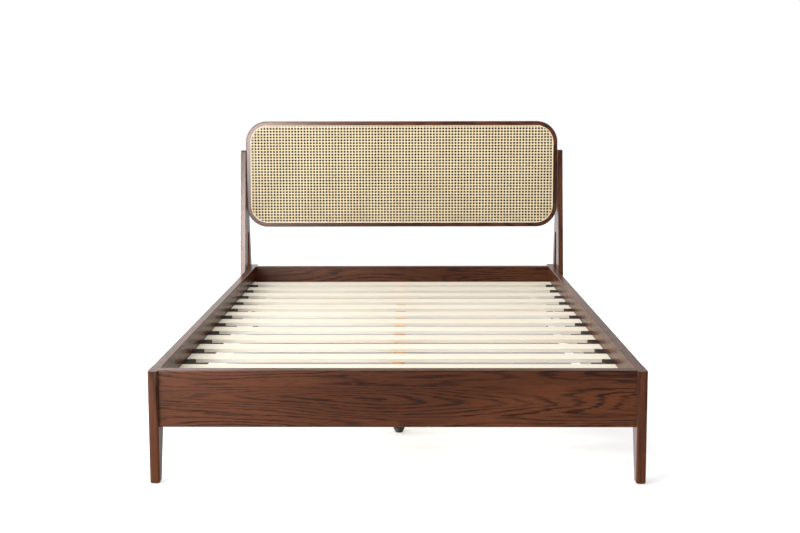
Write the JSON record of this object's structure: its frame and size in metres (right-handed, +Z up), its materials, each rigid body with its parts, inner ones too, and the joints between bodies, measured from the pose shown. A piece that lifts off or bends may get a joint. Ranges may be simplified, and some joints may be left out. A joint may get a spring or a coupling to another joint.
{
  "type": "bed frame",
  "caption": "Slatted wooden platform bed frame with tapered legs, A-shaped head posts and a rounded cane headboard.",
  "frame": {"origin": "on the floor under the middle of the bed's overall box", "axes": "+Z up, +Y towards the headboard, +X to the right seen from the foot end"},
  "size_m": [1.652, 2.168, 1.136],
  "materials": {
    "stained_wood": "satin walnut-brown stain, open grain",
    "slat_pine": "bare pale pine",
    "beam_pine": "bare orange pine",
    "dark_stained_wood": "dark brown stain",
    "webbing": "white woven tape",
    "staple_wire": "plain wire",
    "woven_cane": "natural woven cane",
    "reed": "natural reed",
    "back_panel": "brown stained plywood",
    "black_plastic": "moulded black",
    "bracket_steel": "black powder coat",
    "fastener_steel": "zinc plated",
    "dowel_beech": "plain beech"
  },
  "bodies": {
    "bed_frame": {"bracket_screws": "fastener_steel", "cane_panel": "woven_cane", "cane_spline": "reed", "centre_beam": "beam_pine", "centre_leg_1": "stained_wood", "centre_leg_2": "stained_wood", "centre_leg_3": "stained_wood", "corner_brackets": "bracket_steel", "dowels": "dowel_beech", "floor_glides": "black_plastic", "foot_beam_hanger": "bracket_steel", "foot_rail": "stained_wood", "front_left_leg": "stained_wood", "front_right_leg": "stained_wood", "hanger_bolts": "fastener_steel", "head_beam_hanger": "bracket_steel", "head_rail": "stained_wood", "headboard_back_panel": "back_panel", "headboard_bottom_left_corner": "stained_wood", "headboard_bottom_rail": "stained_wood", "headboard_bottom_right_corner": "stained_wood", "headboard_left_stile": "stained_wood", "headboard_right_stile": "stained_wood", "headboard_top_left_corner": "stained_wood", "headboard_top_rail": "stained_wood", "headboard_top_right_corner": "stained_wood", "ledger_screws": "fastener_steel", "left_ledger": "dark_stained_wood", "left_post_front_arm": "stained_wood", "left_post_rear_arm": "stained_wood", "left_side_rail": "stained_wood", "left_spacer_blocks": "dark_stained_wood", "post_bolts": "fastener_steel", "rear_left_leg": "stained_wood", "rear_right_leg": "stained_wood", "right_ledger": "dark_stained_wood", "right_post_front_arm": "stained_wood", "right_post_rear_arm": "stained_wood", "right_side_rail": "stained_wood", "right_spacer_blocks": "dark_stained_wood", "threaded_inserts": "fastener_steel"},
    "slat_roll": {"left_slat_tape": "webbing", "right_slat_tape": "webbing", "slat_01": "slat_pine", "slat_02": "slat_pine", "slat_03": "slat_pine", "slat_04": "slat_pine", "slat_05": "slat_pine", "slat_06": "slat_pine", "slat_07": "slat_pine", "slat_08": "slat_pine", "slat_09": "slat_pine", "slat_10": "slat_pine", "slat_11": "slat_pine", "slat_12": "slat_pine", "slat_13": "slat_pine", "tape_staples": "staple_wire"},
    "levelling_foot_1_body": {"levelling_foot_1": "black_plastic"},
    "levelling_foot_2_body": {"levelling_foot_2": "black_plastic"},
    "levelling_foot_3_body": {"levelling_foot_3": "black_plastic"}
  },
  "joints": [
    {"name": "slat_roll_lift", "type": "slide", "parent": "bed_frame", "child": "slat_roll", "axis": [0, 0, 1], "range_m": [0, 0.25]},
    {"name": "levelling_foot_1_travel", "type": "slide", "parent": "bed_frame", "child": "levelling_foot_1_body", "axis": [0, 0, 1], "range_m": [0, 0.01]},
    {"name": "levelling_foot_2_travel", "type": "slide", "parent": "bed_frame", "child": "levelling_foot_2_body", "axis": [0, 0, 1], "range_m": [0, 0.01]},
    {"name": "levelling_foot_3_travel", "type": "slide", "parent": "bed_frame", "child": "levelling_foot_3_body", "axis": [0, 0, 1], "range_m": [0, 0.01]}
  ]
}
